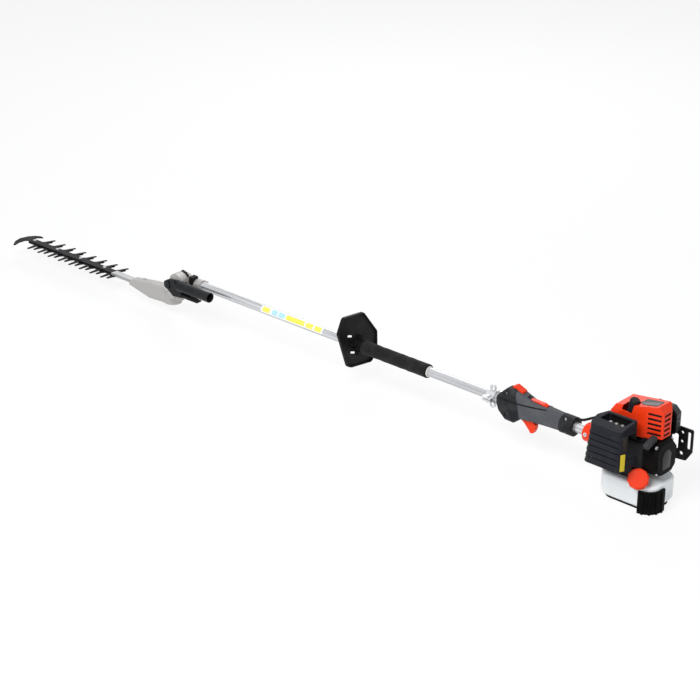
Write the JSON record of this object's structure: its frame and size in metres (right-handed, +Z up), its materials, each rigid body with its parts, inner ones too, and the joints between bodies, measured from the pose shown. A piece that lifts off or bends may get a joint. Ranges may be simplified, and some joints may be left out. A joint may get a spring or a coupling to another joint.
{
  "type": "articulated petrol hedge trimmer",
  "caption": "Long-reach petrol hedge trimmer: engine and tank at the rear, straight shaft with throttle grip and foam handle, tilting gear head with double-sided reciprocating blades.",
  "frame": {"origin": "on the ground in the middle of the stand's foot under the fuel tank", "axes": "+X along the shaft towards the blades, +Y to the operator's left, +Z up"},
  "size_m": [2.4209, 0.227, 0.2657],
  "materials": {
    "painted_shaft": "satin anodised",
    "steel": "machined",
    "zinc": "bright zinc",
    "grip_black": "moulded, fine grain",
    "foam": "closed-cell foam",
    "orange": "moulded",
    "black_plastic": "moulded",
    "clear_nylon": "moulded",
    "rubber": "soft",
    "cast_aluminium": "die cast",
    "black_cast": "die cast, black lacquer",
    "black_metal": "satin black",
    "tank_white": "translucent",
    "blade_black": "coated"
  },
  "bodies": {
    "engine_and_shaft": {"main_tube": "painted_shaft", "shaft_bushes": "clear_nylon", "harness_clamp": "zinc", "harness_clamp_lower": "zinc", "clamp_bolts": "zinc", "foam_grip": "foam", "hand_guard": "black_plastic", "grip_housing_left": "grip_black", "grip_housing_right": "grip_black", "grip_screws": "zinc", "trigger_pins": "steel", "control_conduit": "black_plastic", "clutch_case": "orange", "crankcase": "black_cast", "cylinder": "cast_aluminium", "spark_plug": "steel", "plug_cap": "rubber", "engine_cowl": "orange", "starter_housing": "black_plastic", "muffler": "steel", "muffler_guard": "black_plastic", "carburettor": "cast_aluminium", "air_cleaner_body": "black_plastic", "air_cleaner_cover": "grip_black", "side_guard": "black_metal", "fuel_tank": "tank_white", "tank_stand": "black_plastic", "upper_gearcase": "cast_aluminium", "index_plate": "black_metal", "neck_cover": "black_plastic"},
    "head": {"head_gearcase": "cast_aluminium", "head_nose": "cast_aluminium", "head_screws": "zinc", "tilt_arm": "black_cast", "guide_bar": "steel", "blade_bolts": "zinc", "tip_guard": "black_plastic"},
    "upper_blade_assembly": {"upper_blade": "blade_black", "upper_rod": "steel"},
    "lower_blade_assembly": {"lower_blade": "blade_black", "lower_rod": "steel"},
    "release_lever": {"squeeze_lever": "black_plastic"},
    "upright_shaft": {"upright_shaft": "steel"},
    "idler_gear": {"idler_gear": "steel"},
    "crank_gear": {"crank_gear": "steel"},
    "drive_line": {"clutch_drum": "steel", "drive_shaft": "steel", "drive_pinion": "steel"},
    "pivot_gear": {"pivot_gear": "steel"},
    "engine_rotor": {"crankshaft": "steel", "flywheel": "cast_aluminium", "clutch_shoes": "steel"},
    "starter_handle": {"starter_handle": "black_plastic"},
    "starter_pulley": {"starter_pulley": "clear_nylon"},
    "throttle_trigger": {"throttle_trigger": "orange"},
    "throttle_lockout": {"throttle_lockout": "orange"},
    "stop_switch": {"stop_switch": "orange"},
    "fuel_cap": {"fuel_cap": "orange"},
    "choke_lever": {"choke_lever": "black_plastic"},
    "purge_bulb": {"purge_bulb": "clear_nylon"}
  },
  "joints": [
    {"name": "head_tilt", "type": "hinge", "parent": "engine_and_shaft", "child": "head", "pos_m": [1.586, 0, 0.125], "axis": [0, 1, 0], "range_deg": [-45, 60]},
    {"name": "release_squeeze", "type": "hinge", "parent": "head", "child": "release_lever", "pos_m": [1.54, 0.05, 0.105], "axis": [0, 1, 0], "range_deg": [0, 5], "stiffness_Nm_per_rad": 2, "springref_deg": -2.86},
    {"name": "upper_blade_stroke", "type": "slide", "parent": "head", "child": "upper_blade_assembly", "axis": [1, 0, 0], "range_m": [-0.005, 0.005]},
    {"name": "lower_blade_stroke", "type": "slide", "parent": "head", "child": "lower_blade_assembly", "axis": [1, 0, 0], "range_m": [-0.005, 0.005]},
    {"name": "drive_spin", "type": "hinge", "parent": "engine_and_shaft", "child": "drive_line", "pos_m": [0.166, 0, 0.125], "axis": [1, 0, 0], "continuous": true},
    {"name": "pivot_gear_spin", "type": "hinge", "parent": "engine_and_shaft", "child": "pivot_gear", "pos_m": [1.586, 0, 0.125], "axis": [0, 1, 0], "continuous": true},
    {"name": "upright_spin", "type": "hinge", "parent": "head", "child": "upright_shaft", "pos_m": [1.586, 0.021, 0.095], "axis": [0, 0, 1], "continuous": true},
    {"name": "idler_spin", "type": "hinge", "parent": "head", "child": "idler_gear", "pos_m": [1.60924, 0.02039, 0.078], "axis": [0, 0, 1], "continuous": true},
    {"name": "crank_spin", "type": "hinge", "parent": "head", "child": "crank_gear", "pos_m": [1.638, 0, 0.065], "axis": [0, 0, 1], "continuous": true},
    {"name": "engine_spin", "type": "hinge", "parent": "engine_and_shaft", "child": "engine_rotor", "pos_m": [0.016, 0, 0.125], "axis": [1, 0, 0], "continuous": true},
    {"name": "starter_pull", "type": "slide", "parent": "engine_and_shaft", "child": "starter_handle", "axis": [-1, 0, 0], "range_m": [0, 0.6], "stiffness_N_per_m": 30, "springref_m": -0.1},
    {"name": "starter_pulley_spin", "type": "hinge", "parent": "engine_and_shaft", "child": "starter_pulley", "pos_m": [-0.064, 0, 0.125], "axis": [1, 0, 0], "range_deg": [0, 1440]},
    {"name": "throttle_squeeze", "type": "hinge", "parent": "engine_and_shaft", "child": "throttle_trigger", "pos_m": [0.347, 0, 0.1035], "axis": [0, 1, 0], "range_deg": [0, 12], "stiffness_Nm_per_rad": 1.5, "springref_deg": -5.73},
    {"name": "lockout_press", "type": "hinge", "parent": "engine_and_shaft", "child": "throttle_lockout", "pos_m": [0.278, 0, 0.1475], "axis": [0, 1, 0], "range_deg": [0, 6], "stiffness_Nm_per_rad": 1, "springref_deg": -5.73},
    {"name": "stop_switch_slide", "type": "slide", "parent": "engine_and_shaft", "child": "stop_switch", "axis": [1, 0, 0], "range_m": [0, 0.004]},
    {"name": "fuel_cap_unscrew", "type": "hinge", "parent": "engine_and_shaft", "child": "fuel_cap", "pos_m": [-0.04, 0.058, 0.085], "axis": [-0.3746, 0.6204, 0.689], "range_deg": [0, 360]},
    {"name": "choke_turn", "type": "hinge", "parent": "engine_and_shaft", "child": "choke_lever", "pos_m": [0.039, -0.058, 0.205], "axis": [1, 0, 0], "range_deg": [0, 50]},
    {"name": "purge_press", "type": "slide", "parent": "engine_and_shaft", "child": "purge_bulb", "axis": [0, 0, 1], "range_m": [0, 0.003], "stiffness_N_per_m": 800, "springref_m": -0.001}
  ],
  "couplings": [
    {"joint": "lower_blade_stroke", "follows": "upper_blade_stroke", "ratio": -1},
    {"joint": "pivot_gear_spin", "follows": "drive_spin", "ratio": -0.5},
    {"joint": "upright_spin", "follows": "drive_spin", "ratio": 0.5},
    {"joint": "idler_spin", "follows": "drive_spin", "ratio": -0.31579},
    {"joint": "crank_spin", "follows": "drive_spin", "ratio": 0.21429},
    {"joint": "starter_pulley_spin", "follows": "starter_pull", "rad_per_m": 40}
  ]
}
